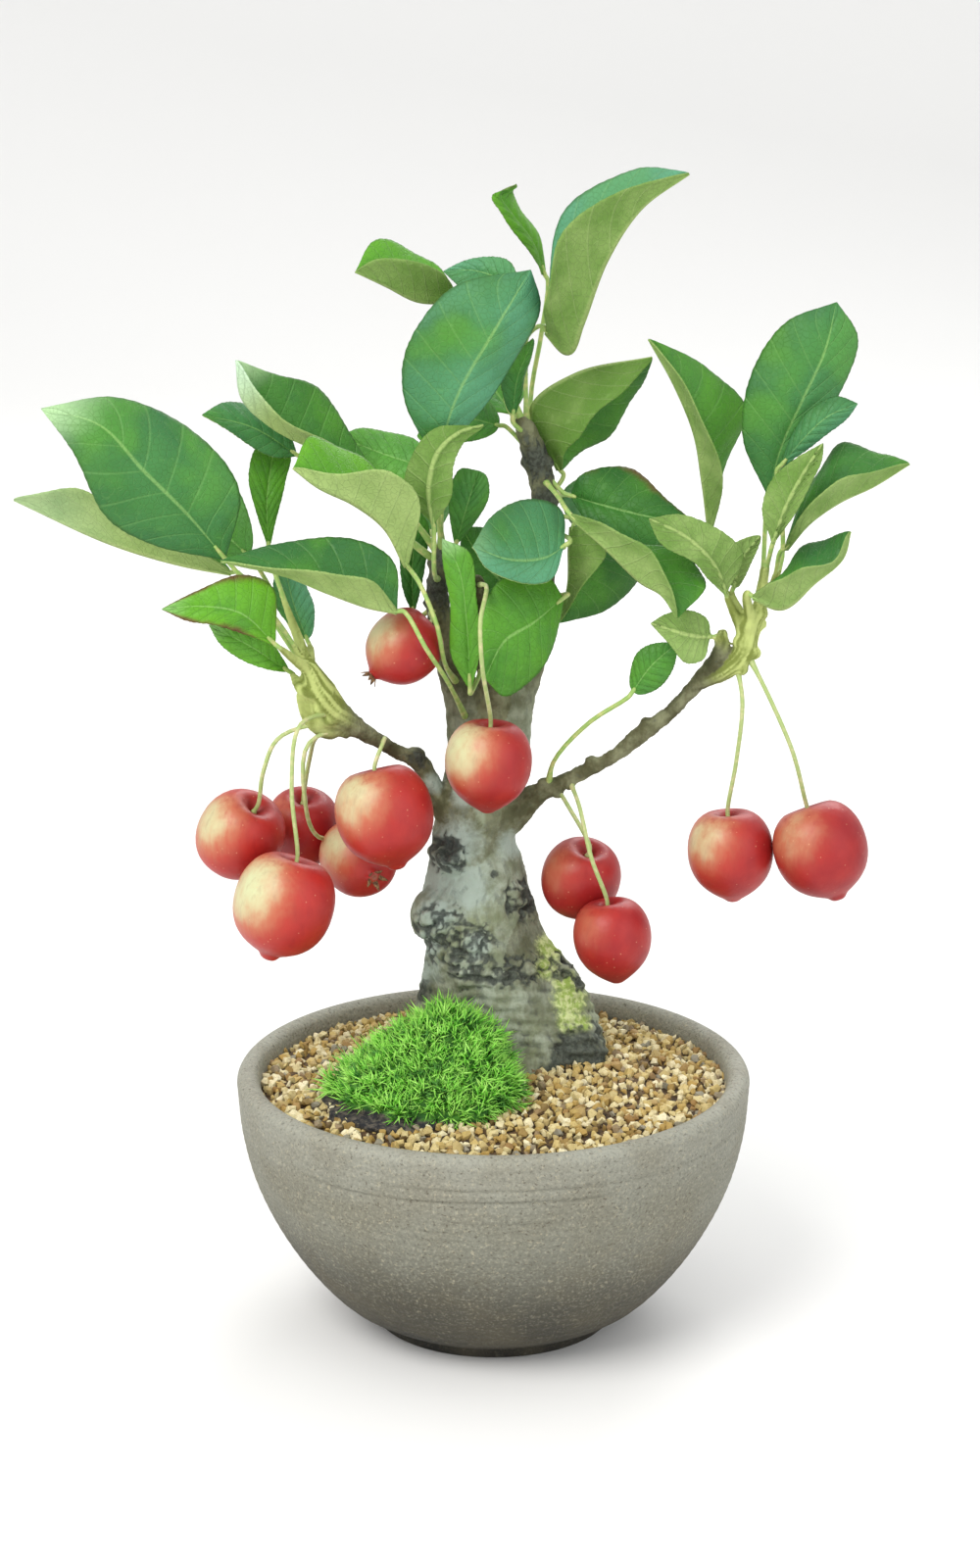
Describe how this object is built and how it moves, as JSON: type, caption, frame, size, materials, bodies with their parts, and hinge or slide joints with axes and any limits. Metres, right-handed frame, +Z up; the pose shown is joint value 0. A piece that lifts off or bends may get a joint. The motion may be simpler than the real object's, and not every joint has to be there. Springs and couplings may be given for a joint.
{
  "type": "apple bonsai",
  "caption": "Miniature crab-apple tree with branches, leaves and stalked fruit, planted with moss and gravel in a round stoneware bowl.",
  "frame": {"origin": "under the middle of the whole plant's box, on the surface that the bowl stands on", "axes": "+Z up, -Y towards the viewer of the tree's front, +X to that viewer's right"},
  "size_m": [0.2002, 0.12, 0.2703],
  "materials": {
    "stoneware": "matte",
    "net": "matte",
    "soil": "matte",
    "gravel": "matte",
    "moss": "matte",
    "bark": "matte",
    "fruit": "gloss",
    "leaf": "satin"
  },
  "bodies": {
    "root": {"pot": "stoneware", "drain_mesh": "net", "soil": "soil", "gravel": "gravel", "moss": "moss", "trunk": "bark", "apple_1": "fruit", "apple_2": "fruit", "apple_3": "fruit", "apple_4": "fruit", "apple_5": "fruit", "apple_6": "fruit", "apple_7": "fruit", "apple_8": "fruit", "apple_9": "fruit", "apple_10": "fruit", "apple_11": "fruit", "leaf_apex_1": "leaf", "leaf_apex_2": "leaf", "leaf_apex_3": "leaf", "leaf_apex_4": "leaf", "leaf_apex_5": "leaf", "leaf_apex_6": "leaf", "leaf_apex_7": "leaf", "leaf_upper_1": "leaf", "leaf_upper_2": "leaf", "leaf_upper_3": "leaf", "leaf_upper_4": "leaf", "leaf_left_1": "leaf", "leaf_left_2": "leaf", "leaf_left_3": "leaf", "leaf_left_4": "leaf", "leaf_left_5": "leaf", "leaf_left_6": "leaf", "leaf_left_7": "leaf", "leaf_middle_1": "leaf", "leaf_middle_2": "leaf", "leaf_middle_3": "leaf", "leaf_middle_4": "leaf", "leaf_middle_5": "leaf", "leaf_middle_6": "leaf", "leaf_inner_1": "leaf", "leaf_inner_2": "leaf", "leaf_inner_3": "leaf", "leaf_inner_4": "leaf", "leaf_right_1": "leaf", "leaf_right_2": "leaf", "leaf_right_3": "leaf", "leaf_right_4": "leaf", "leaf_right_5": "leaf", "leaf_right_6": "leaf", "leaf_right_7": "leaf", "leaf_right_8": "leaf", "leaf_right_9": "leaf", "leaf_right_10": "leaf", "leaf_back_1": "leaf", "leaf_back_2": "leaf", "leaf_back_3": "leaf", "leaf_back_4": "leaf", "leaf_back_5": "leaf"}
  },
  "joints": []
}
